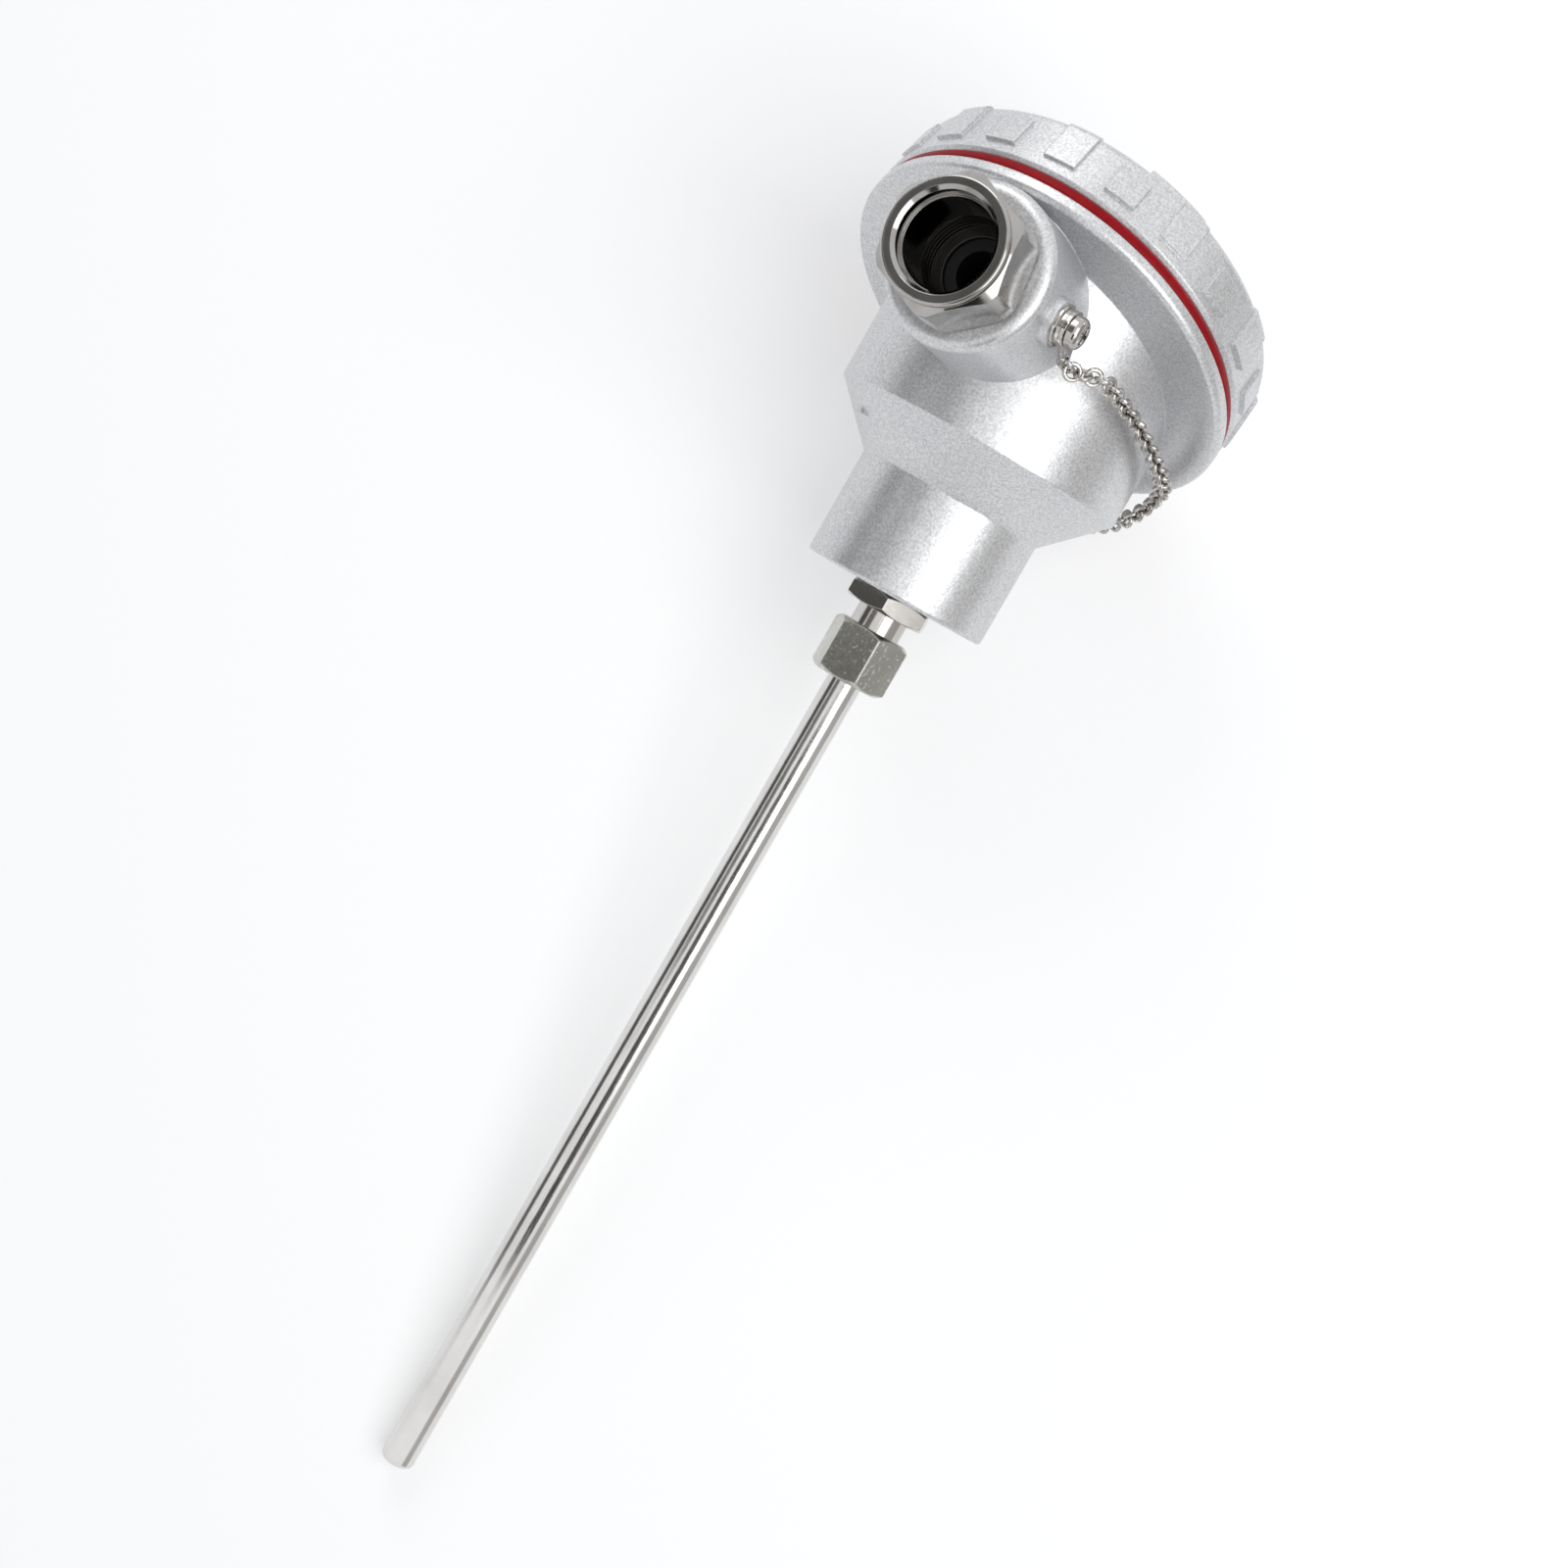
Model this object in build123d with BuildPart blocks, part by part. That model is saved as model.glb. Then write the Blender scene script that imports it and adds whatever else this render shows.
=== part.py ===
"""Probe with a weatherproof connection head, in millimetres.

The stem runs along Z with its tip at the bottom. The origin is on the stem's axis, where the free
stem leaves the compression nut. The cable entry faces -Y, and the screw lid leans back towards +Y.
"""
import math
import os

from build123d import *

# Stem
stem_radius = 4.0
stem_free_length = 204.4
stem_seat_undercut = 0.2
stem_wall = 0.8
stem_tip_rounding = 1.1
stem_rise_in_neck = 15.0

# Compression fitting between the stem and the neck
slip_clearance = 0.05
nut_across_flats = 16.0
nut_length = 12.7
nut_turn = 4.4
nut_shoulder = 3.0
nut_thread_radius = 6.0
nut_cone_angle = 35.0
collar_radius = 5.9
collar_length = 4.3
fitting_across_flats = 18.0
fitting_hex_length = 4.3
fitting_turn = -13.8
fitting_thread_radius = 7.0
fitting_thread_length = 12.0
fitting_face_inset = 0.2
fitting_end_chamfer = 0.6
fitting_hole_depth = 13.0
back_ferrule_length = 1.6
front_ferrule_length = 3.4
ferrule_wall = 1.5

# Connection head: neck, cone and bowl about the stem's axis
neck_radius = 21.5
neck_length = 24.3
neck_rounding = 0.8
cone_length = 12.2
bowl_radius = 33.7
bowl_wall = 3.7
wire_passage_radius = 5.5
floor_thickness = 20.0
floor_radius = 15.0
floor_step = 6.0
floor_rounding = 2.0

# Lid seat, a tilted plane behind the stem's axis
lid_tilt = 26.5
seat_height = 68.2
seat_setback = 2.4
flange_lip = 0.3
flange_thickness = 2.9
flange_rounding = 1.3
collar_wall = 4.4
collar_end_gap = 0.6
collar_chamfer = 0.8
lid_thread_radius = 42.0
lid_thread_length = 8.0
lid_thread_relief = 2.0
seal_height = 3.0
seal_recess = 0.1
seal_rounding = 1.2

# Lid
lid_height = 14.2
lid_wall = 4.3
lid_draft = 0.8
lid_top_thickness = 2.8
lid_edge_rounding = 2.0
lid_foot_chamfer = 0.8
lid_hollow_rounding = 1.5
pad_pairs = 10
pad_angle = 9.0
pad_rise = 0.8
pad_foot = 3.4
pad_short_top = 10.6
pad_short_rounding = 0.5
pad_sink = 1.5
bar_width = 15.0
bar_rise = 4.0
bar_turn = 30.0
bar_end_gap = 5.0
bar_rounding = 0.8
bar_sink = 1.0

# Cable entry
entry_drop = 4.1
boss_radius = 17.6
boss_reach = 57.5
boss_rounding = 2.4
boss_bore_radius = 12.0
boss_shoulder_reach = 38.0
entry_hole_radius = 8.0
gland_across_flats = 26.6
gland_corner_trim = 0.7
gland_turn = -22.0
gland_hex_length = 15.2
gland_ring_radius = 12.9
gland_ring_step = 1.6
gland_ring_rounding = 0.7
gland_front_angle = 38.0
gland_foot_angle = 28.0
gland_foot_margin = 1.0
gland_chamfer = 0.8
gland_mouth_radius = 10.8
gland_mouth_depth = 3.6
gland_bore_radius = 9.5
gland_shank_length = 7.8
gland_foot_gap = 0.4
washer_thickness = 1.2
washer_hole_radius = 7.4
washer_rounding = 0.3
grommet_hole_radius = 5.0

# Chain between the boss and the lid
lug_radius = 5.2
lug_reach = 19.0
lug_setback = 11.5
lug_drop = 0.9
lug_wall = 0.8
chain_screw_radius = 2.0
chain_screw_length = 5.6
chain_screw_bite = 5.0
pan_head_radius = 3.45
pan_head_height = 2.6
pan_head_crown = 0.55
cross_length = 1.2
cross_width = 0.25
screw_tip_chamfer = 0.3
flat_washer_radius = 4.5
flat_washer_thickness = 0.8
spring_washer_radius = 3.9
spring_washer_thickness = 1.0
spring_washer_gap = 1.2
eyelet_thickness = 0.9
eyelet_radius = 4.0
eyelet_tab_radius = 1.65
eyelet_hole_radius = 0.8
boss_eyelet_reach = 7.6
boss_eyelet_turn = 48.0
lid_eyelet_reach = 9.9
link_diameter = 4.1
link_wire = 0.8
link_pitch = 2.24
link_sides = 8
link_taper = 25.0
link_clearance = 0.1
# the curve starts and ends with offsets from the eyelets' holes
chain_leaves_boss = [
    (1.5, 3.0, -1.1),
    (5.3, 4.9, 0.0),
]
# round the bowl: angle about the stem, gap from the wall, drop below the seat's centre
chain_round_bowl = [
    (-39.4, 6.8, 10.8),
    (-26.4, 4.5, 12.7),
    (-13.9, 3.9, 15.0),
    (-1.5, 4.3, 17.3),
    (13.4, 5.2, 19.9),
    (26.8, 5.1, 23.2),
    (37.9, 4.7, 27.2),
    (48.3, 4.6, 30.2),
    (59.5, 5.3, 32.3),
    (67.6, 8.4, 30.8),
    (70.6, 11.6, 25.2),
]
# over the lid: angle about its axis, gap from the skirt, rise above the top
chain_over_lid = [
    (70.0, 3.5, -6.7),
    (70.1, 0.1, 2.0),
    (66.4, -11.4, 2.6),
    (57.2, -24.9, 2.8),
]
chain_meets_lid = (1.3, 4.05, -0.25)

# Measuring unit in the bowl
unit_radius = 22.0
unit_height = 18.0
unit_floor_rise = 40.7
unit_hole_radius = 4.2
unit_chamfer = 1.0
pillar_radius = 3.6
pillar_spacing = 33.0
unit_screw_radius = 2.0
unit_screw_bite = 8.0
unit_screw_play = 0.3
screw_hole_depth = 1.0
pillar_sink = 1.0
unit_counterbore_radius = 4.3
unit_counterbore_depth = 6.0
terminal_ring_radius = 16.5
terminal_angles = (45.0, 75.0, 105.0, 135.0, 255.0, 285.0)
terminal_screw_radius = 1.5
terminal_screw_length = 6.0
terminal_head_radius = 2.6
terminal_head_height = 1.8
clamp_size = 5.6
clamp_thickness = 1.0
barrier_thickness = 1.2
barrier_height = 3.4
barrier_length = 8.0
barrier_margin = 0.6
barrier_angles = (30.0, 60.0, 90.0, 120.0, 150.0, 240.0, 270.0, 300.0)
earth_angle = 225.0
earth_ring_radius = 26.0
earth_pillar_radius = 3.2
earth_pillar_drop = 3.0

# Wires and sensor
wire_radius = 0.5
wire_ring_radius = 2.1
wire_bend_radius = 2.0
wire_lift = 0.05
sensor_radius = 2.5
sensor_length = 22.0
sensor_tip_gap = 2.0
potting_length = 5.0

os.makedirs("parts", exist_ok=True)


def profile(plane, points, rounded=()):
    """A closed outline on a plane; rounded lists (number of the corner, radius)."""
    with BuildSketch(plane) as outline:
        with BuildLine():
            Polyline(*points, close=True)
        make_face()
        for number, radius in rounded:
            corner = outline.vertices().sort_by_distance((*points[number], 0))[0]
            fillet(corner, radius)
    return outline.sketch


def hexagon(plane, across_flats, turn):
    """A hexagon of that size across its flats, turned about the plane's axis."""
    with BuildSketch(plane) as outline:
        RegularPolygon(across_flats / 2, 6, major_radius=False, rotation=turn)
    return outline.sketch


def disc(plane, radius):
    """A full circle on a plane."""
    with BuildSketch(plane) as outline:
        Circle(radius)
    return outline.sketch


def spun(plane, angle):
    """The same plane, with its X axis turned about its normal."""
    normal = Axis((0, 0, 0), plane.z_dir)
    return Plane(origin=plane.origin, x_dir=plane.x_dir.rotate(normal, angle), z_dir=plane.z_dir)


def save(builder, name):
    """Name a finished piece and write it."""
    builder.part.label = name
    export_step(builder.part, f"parts/{name}.step")


# Heights along the stem
collar_z = nut_length
hex_z = collar_z + collar_length
neck_z = hex_z + fitting_hex_length
cone_z = neck_z + neck_length
bowl_z = cone_z + cone_length
seat_z = neck_z + seat_height
entry_z = seat_z - entry_drop
unit_z = neck_z + unit_floor_rise
tip_z = -stem_free_length
stem_top_z = neck_z + stem_rise_in_neck

# The lid's radii start from its thread, and the flange and the seal follow its skirt
lid_skirt_radius = lid_thread_radius + lid_wall
lid_top_radius = lid_skirt_radius - lid_draft
flange_radius = lid_skirt_radius + flange_lip
seal_radius = lid_skirt_radius - seal_recess

# Planes: one to draw sections about the stem, and the lid's own frame, with its axis up
stem_section = Plane.XZ
tilt = math.radians(lid_tilt)
lid_up = Vector(0, math.sin(tilt), math.cos(tilt))
seat_centre = Vector(0, -seat_setback, seat_z)
lid_plane = Plane(origin=seat_centre, x_dir=(1, 0, 0), z_dir=lid_up)
lid_section = Plane(origin=seat_centre, x_dir=(1, 0, 0), z_dir=-lid_plane.y_dir)
lid_axis = Axis(seat_centre, lid_up)

# The cable entry's frame: reach counts outwards from the stem's axis, along -Y
entry_origin = Vector(0, 0, entry_z)
entry_section = Plane(origin=entry_origin, x_dir=(1, 0, 0), z_dir=(0, 0, -1))
entry_axis = Axis(entry_origin, (0, -1, 0))


def entry_plane(reach):
    """A plane across the cable entry, facing outwards."""
    return Plane(origin=(0, -reach, entry_z), x_dir=(1, 0, 0), z_dir=(0, -1, 0))


# Stem: one drawn tube with a closed tip
stem_seat_radius = stem_radius - stem_seat_undercut
stem_bore_radius = stem_radius - stem_wall
with BuildPart() as stem_sheath:
    outline = [
        (0, tip_z),
        (stem_radius, tip_z),
        (stem_radius, 0),
        (stem_seat_radius, 0),
        (stem_seat_radius, stem_top_z),
        (stem_bore_radius, stem_top_z),
        (stem_bore_radius, tip_z + stem_wall),
        (0, tip_z + stem_wall),
    ]
    revolve(profile(stem_section, outline, [(1, stem_tip_rounding)]), axis=Axis.Z)
save(stem_sheath, "stem_sheath")

# Sensing element near the tip
sensor_z = tip_z + stem_wall + sensor_tip_gap
with BuildPart() as sensing_element:
    extrude(disc(Plane.XY.offset(sensor_z), sensor_radius), amount=sensor_length)
    chamfer(sensing_element.edges().filter_by(GeomType.CIRCLE), sensor_radius / 6)
save(sensing_element, "sensing_element")

# Three wires rise from the sensor, pass through the unit and turn out to its terminals
unit_top_z = unit_z + unit_height
wire_angles = terminal_angles[:3]
wire_foot_z = sensor_z + sensor_length


def wire_path(angle):
    """The centre line of the wire that ends at the terminal at this angle."""
    across, along = math.cos(math.radians(angle)), math.sin(math.radians(angle))
    lie_z = unit_top_z + wire_radius + wire_lift
    end_reach = terminal_ring_radius - terminal_screw_radius - wire_radius
    foot = (wire_ring_radius * across, wire_ring_radius * along, wire_foot_z)
    bend = (foot[0], foot[1], lie_z)
    end = (end_reach * across, end_reach * along, lie_z)
    with BuildLine() as path:
        FilletPolyline(foot, bend, end, radius=wire_bend_radius)
    return path.line


def wire(angle):
    """One wire along its path."""
    path = wire_path(angle)
    with BuildPart() as strand:
        with BuildSketch(Plane(origin=path @ 0, z_dir=path % 0)):
            Circle(wire_radius)
        sweep(path=path)
    return strand.part


with BuildPart() as lead_wires_red:
    add(wire(wire_angles[0]))
    add(wire(wire_angles[1]))
save(lead_wires_red, "lead_wires_red")

with BuildPart() as lead_wire_white:
    add(wire(wire_angles[2]))
save(lead_wire_white, "lead_wire_white")

# Powder that fills the stem round the sensor and the wires, and the plug that closes it
potting_z = stem_top_z - potting_length
with BuildPart() as insulation_powder:
    extrude(
        disc(Plane.XY.offset(tip_z + stem_wall), stem_bore_radius),
        amount=potting_z - tip_z - stem_wall,
    )
    add(sensing_element.part, mode=Mode.SUBTRACT)
    with BuildSketch(Plane.XY.offset(wire_foot_z)):
        for angle in wire_angles:
            with PolarLocations(wire_ring_radius, 1, start_angle=angle):
                Circle(wire_radius)
    extrude(amount=potting_z - wire_foot_z, mode=Mode.SUBTRACT)
save(insulation_powder, "insulation_powder")

with BuildPart() as potting_plug:
    extrude(disc(Plane.XY.offset(potting_z), stem_bore_radius), amount=potting_length)
    with BuildSketch(Plane.XY.offset(potting_z)):
        for angle in wire_angles:
            with PolarLocations(wire_ring_radius, 1, start_angle=angle):
                Circle(wire_radius)
    extrude(amount=potting_length, mode=Mode.SUBTRACT)
save(potting_plug, "potting_plug")

# Compression nut: a hexagon with both ends turned to a cone, bored for the stem and the thread
nut_corner_radius = nut_across_flats / 2 / math.cos(math.radians(30))
nut_chamfer = (nut_corner_radius - nut_across_flats / 2) * math.tan(math.radians(30))
nut_round_radius = nut_across_flats / 2 - nut_chamfer / 2
nut_cone = (nut_corner_radius - nut_round_radius) * math.tan(math.radians(nut_cone_angle))
with BuildPart() as compression_nut:
    extrude(hexagon(Plane.XY, nut_across_flats, nut_turn), amount=nut_length)
    outline = [
        (0, 0),
        (nut_round_radius, 0),
        (nut_corner_radius, nut_cone),
        (nut_corner_radius, nut_length - nut_cone),
        (nut_round_radius, nut_length),
        (0, nut_length),
    ]
    revolve(profile(stem_section, outline), axis=Axis.Z, mode=Mode.INTERSECT)
    outline = [
        (0, 0),
        (stem_radius + 1.5 * slip_clearance, 0),
        (stem_radius + 1.5 * slip_clearance, nut_shoulder),
        (nut_thread_radius + slip_clearance, nut_shoulder),
        (nut_thread_radius + slip_clearance, nut_length),
        (0, nut_length),
    ]
    revolve(profile(stem_section, outline), axis=Axis.Z, mode=Mode.SUBTRACT)
save(compression_nut, "compression_nut")

# Two ferrules between the nut's shoulder and the cone in the fitting's end
back_ferrule_z = nut_shoulder
front_ferrule_z = back_ferrule_z + back_ferrule_length
ferrule_tip_z = front_ferrule_z + front_ferrule_length
ferrule_bore_radius = stem_radius + slip_clearance
ferrule_radius = ferrule_bore_radius + ferrule_wall
with BuildPart() as back_ferrule:
    outline = [
        (ferrule_bore_radius, back_ferrule_z),
        (ferrule_radius, back_ferrule_z),
        (ferrule_radius, front_ferrule_z),
        (ferrule_bore_radius, front_ferrule_z),
    ]
    revolve(profile(stem_section, outline), axis=Axis.Z)
save(back_ferrule, "back_ferrule")

front_ferrule_bore = stem_seat_radius + slip_clearance / 2
ferrule_tip_radius = front_ferrule_bore + ferrule_wall / 4
with BuildPart() as front_ferrule:
    outline = [
        (front_ferrule_bore, front_ferrule_z),
        (ferrule_radius, front_ferrule_z),
        (ferrule_tip_radius, ferrule_tip_z),
        (front_ferrule_bore, ferrule_tip_z),
    ]
    revolve(profile(stem_section, outline), axis=Axis.Z)
save(front_ferrule, "front_ferrule")

# Fitting body: nut thread, collar, hexagon and the thread that holds it in the neck
cone_seat_z = front_ferrule_z + front_ferrule_length / 3
cone_slope = (ferrule_radius - ferrule_tip_radius) / front_ferrule_length
cone_mouth_radius = ferrule_radius - cone_slope * (cone_seat_z - front_ferrule_z)
fitting_bore_radius = stem_seat_radius + slip_clearance
fitting_corner_radius = fitting_across_flats / 2 / math.cos(math.radians(30))
fitting_round_radius = fitting_across_flats / 2 - fitting_face_inset
fitting_cone = (fitting_corner_radius - fitting_round_radius) / 2
with BuildPart() as fitting_body:
    extrude(
        hexagon(Plane.XY.offset(hex_z), fitting_across_flats, fitting_turn),
        amount=fitting_hex_length,
    )
    outline = [
        (0, hex_z),
        (fitting_round_radius, hex_z),
        (fitting_corner_radius, hex_z + fitting_cone),
        (fitting_corner_radius, neck_z - fitting_cone),
        (fitting_round_radius, neck_z),
        (0, neck_z),
    ]
    revolve(profile(stem_section, outline), axis=Axis.Z, mode=Mode.INTERSECT)
    outline = [
        (0, cone_seat_z),
        (nut_thread_radius, cone_seat_z),
        (nut_thread_radius, collar_z - collar_chamfer),
        (collar_radius, collar_z),
        (collar_radius, hex_z),
        (0, hex_z),
    ]
    revolve(profile(stem_section, outline), axis=Axis.Z)
    extrude(
        disc(Plane.XY.offset(neck_z), fitting_thread_radius), amount=fitting_thread_length
    )
    chamfer(fitting_body.edges().group_by(Axis.Z)[-1], fitting_end_chamfer)
    outline = [
        (0, cone_seat_z),
        (cone_mouth_radius, cone_seat_z),
        (ferrule_tip_radius, ferrule_tip_z),
        (fitting_bore_radius, ferrule_tip_z),
        (fitting_bore_radius, neck_z + fitting_thread_length),
        (0, neck_z + fitting_thread_length),
    ]
    revolve(profile(stem_section, outline), axis=Axis.Z, mode=Mode.SUBTRACT)
save(fitting_body, "fitting_body")

# Connection head
flange_top = -seal_height
flange_foot = flange_top - flange_thickness
floor_z = neck_z + floor_thickness
bowl_bore_radius = bowl_radius - bowl_wall
bowl_reach = bowl_z + 3 * bowl_radius
lug_z = entry_z - lug_drop
lug_y = lug_setback - boss_reach
half_spacing = pillar_spacing / 2
earth_x = earth_ring_radius * math.cos(math.radians(earth_angle))
earth_y = earth_ring_radius * math.sin(math.radians(earth_angle))
earth_z = unit_z - earth_pillar_drop
wall_slope = (bowl_bore_radius - floor_radius) / (bowl_z - floor_z - floor_step)


def cavity_height(radius):
    """Height of the bowl's sloping floor at a distance from the axis."""
    return floor_z + floor_step + (radius - floor_radius) / wall_slope


with BuildPart() as head_body:
    outline = [
        (0, neck_z),
        (neck_radius, neck_z),
        (neck_radius, cone_z),
        (bowl_radius, bowl_z),
        (bowl_radius, bowl_reach),
        (0, bowl_reach),
    ]
    revolve(profile(stem_section, outline, [(1, neck_rounding)]), axis=Axis.Z)
    # boss of the cable entry, with a rounded rim
    outline = [(0, 0), (boss_radius, 0), (boss_radius, boss_reach), (0, boss_reach)]
    revolve(profile(entry_section, outline, [(2, boss_rounding)]), axis=entry_axis)
    # the lid's seat cuts bowl and boss on a slant
    split(bisect_by=lid_plane.offset(flange_foot), keep=Keep.BOTTOM)
    outline = [
        (0, flange_foot),
        (flange_radius, flange_foot),
        (flange_radius, flange_top),
        (0, flange_top),
    ]
    revolve(profile(lid_section, outline, [(1, flange_rounding)]), axis=lid_axis)
    # threaded collar for the lid
    collar_top = lid_thread_length - collar_end_gap
    outline = [
        (0, flange_top),
        (lid_thread_radius - slip_clearance, flange_top),
        (lid_thread_radius - slip_clearance, collar_top - collar_chamfer),
        (lid_thread_radius - slip_clearance - collar_chamfer, collar_top),
        (0, collar_top),
    ]
    revolve(profile(lid_section, outline), axis=lid_axis)
    outline = [
        (0, flange_top),
        (lid_thread_radius - collar_wall, flange_top),
        (lid_thread_radius - collar_wall, collar_top),
        (0, collar_top),
    ]
    revolve(profile(lid_section, outline), axis=lid_axis, mode=Mode.SUBTRACT)
    # lug for the chain on the boss
    with BuildSketch(Plane(origin=(0, lug_y, lug_z), x_dir=(0, 1, 0), z_dir=(1, 0, 0))):
        Circle(lug_radius)
    extrude(amount=lug_reach)
    # hollow of the bowl, narrowing to a round floor
    outline = [
        (0, floor_z),
        (floor_radius, floor_z),
        (floor_radius, floor_z + floor_step),
        (bowl_bore_radius, bowl_z),
        (bowl_bore_radius, bowl_reach),
        (0, bowl_reach),
    ]
    hollow = profile(stem_section, outline, [(1, floor_rounding)])
    revolve(hollow, axis=Axis.Z, mode=Mode.SUBTRACT)
    # pillars for the unit and for the earth screw
    pillar_foot = cavity_height(half_spacing - pillar_radius) - pillar_sink
    with BuildSketch(Plane.XY.offset(pillar_foot)):
        with GridLocations(pillar_spacing, 0, 2, 1):
            Circle(pillar_radius)
    extrude(amount=unit_z - pillar_foot)
    earth_foot = cavity_height(earth_ring_radius - earth_pillar_radius) - pillar_sink
    with BuildSketch(Plane.XY.offset(earth_foot)):
        with Locations((earth_x, earth_y)):
            Circle(earth_pillar_radius)
    extrude(amount=earth_z - earth_foot)
    with BuildSketch(Plane.XY.offset(unit_z)):
        with GridLocations(pillar_spacing, 0, 2, 1):
            Circle(unit_screw_radius)
    extrude(amount=-unit_screw_bite - screw_hole_depth, mode=Mode.SUBTRACT)
    with BuildSketch(Plane.XY.offset(earth_z)):
        with Locations((earth_x, earth_y)):
            Circle(terminal_screw_radius)
    extrude(amount=-terminal_screw_length - screw_hole_depth, mode=Mode.SUBTRACT)
    # bore of the cable entry, stepped for the rubber bush
    outline = [
        (0, bowl_bore_radius - bowl_wall),
        (entry_hole_radius, bowl_bore_radius - bowl_wall),
        (entry_hole_radius, boss_shoulder_reach),
        (boss_bore_radius, boss_shoulder_reach),
        (boss_bore_radius, boss_reach),
        (0, boss_reach),
    ]
    revolve(profile(entry_section, outline), axis=entry_axis, mode=Mode.SUBTRACT)
    # the lug's screw hole stops short of that bore
    with BuildSketch(
        Plane(origin=(lug_reach, lug_y, lug_z), x_dir=(0, 1, 0), z_dir=(-1, 0, 0))
    ):
        Circle(chain_screw_radius)
    extrude(amount=lug_reach - boss_bore_radius - lug_wall, mode=Mode.SUBTRACT)
    # threaded hole for the fitting and the passage for the wires
    with BuildSketch(Plane.XY.offset(neck_z)):
        Circle(fitting_thread_radius)
    extrude(amount=fitting_hole_depth, mode=Mode.SUBTRACT)
    with BuildSketch(Plane.XY.offset(neck_z)):
        Circle(wire_passage_radius)
    extrude(amount=floor_thickness, mode=Mode.SUBTRACT)
save(head_body, "head_body")

# Seal ring between the flange and the lid
seal_bore_radius = lid_thread_radius
with BuildPart() as lid_seal:
    outline = [
        (seal_bore_radius, flange_top),
        (seal_radius, flange_top),
        (seal_radius, 0),
        (seal_bore_radius, 0),
    ]
    rounded = [(number, seal_rounding) for number in range(4)]
    revolve(profile(lid_section, outline, rounded), axis=lid_axis)
save(lid_seal, "lid_seal")


# Lid, drawn in its own frame and set on the seat
def grip_pad(top, rounding):
    """One raised pad on the skirt, centred on the lid's X axis."""
    foot_radius = lid_skirt_radius - lid_draft * pad_foot / lid_height + pad_rise
    top_radius = lid_skirt_radius - lid_draft * top / lid_height + pad_rise
    root_radius = lid_top_radius - pad_sink
    outline = [
        (root_radius, pad_foot),
        (foot_radius, pad_foot),
        (top_radius, top),
        (root_radius, top),
    ]
    with BuildPart() as pad:
        revolve(
            profile(Plane.XZ.rotated((0, 0, -pad_angle / 2)), outline, [(2, rounding)]),
            axis=Axis.Z,
            revolution_arc=pad_angle,
        )
    return pad.part


def wrench_bar():
    """The bar across the top of the lid, with round ends that follow the rim."""
    with BuildPart() as bar:
        with BuildSketch(Plane.XY.offset(lid_height - bar_sink)):
            Circle(lid_top_radius - bar_end_gap)
            Rectangle(bar_width, 3 * lid_top_radius, rotation=bar_turn, mode=Mode.INTERSECT)
        extrude(amount=bar_rise + bar_sink)
        fillet(bar.faces().sort_by(Axis.Z)[-1].edges(), bar_rounding)
    return bar.part


long_pad = grip_pad(lid_height, lid_edge_rounding)
short_pad = grip_pad(pad_short_top, pad_short_rounding)
ceiling = lid_height - lid_top_thickness
with BuildPart(lid_plane) as cap:
    outline = [
        (0, 0),
        (lid_skirt_radius - lid_foot_chamfer, 0),
        (lid_skirt_radius, lid_foot_chamfer),
        (lid_top_radius, lid_height),
        (0, lid_height),
    ]
    rounded = [(3, lid_edge_rounding)]
    revolve(profile(lid_section, outline, rounded), axis=lid_axis)
    with PolarLocations(0, pad_pairs, start_angle=-90):
        add(long_pad)
    with PolarLocations(0, pad_pairs, start_angle=-90 + 180 / pad_pairs):
        add(short_pad)
    add(wrench_bar())
    # inside: thread, then a narrower dome
    outline = [
        (0, -lid_foot_chamfer),
        (lid_thread_radius, -lid_foot_chamfer),
        (lid_thread_radius, lid_thread_length),
        (lid_thread_radius - lid_thread_relief, lid_thread_length),
        (lid_thread_radius - lid_thread_relief, ceiling),
        (0, ceiling),
    ]
    revolve(
        profile(lid_section, outline, [(4, lid_hollow_rounding)]), axis=lid_axis, mode=Mode.SUBTRACT
    )
    # blind hole for the chain's screw
    with BuildSketch(lid_plane.offset(lid_height + bar_rise)):
        Circle(chain_screw_radius)
    extrude(amount=-chain_screw_length, mode=Mode.SUBTRACT)
save(cap, "cap")

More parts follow.
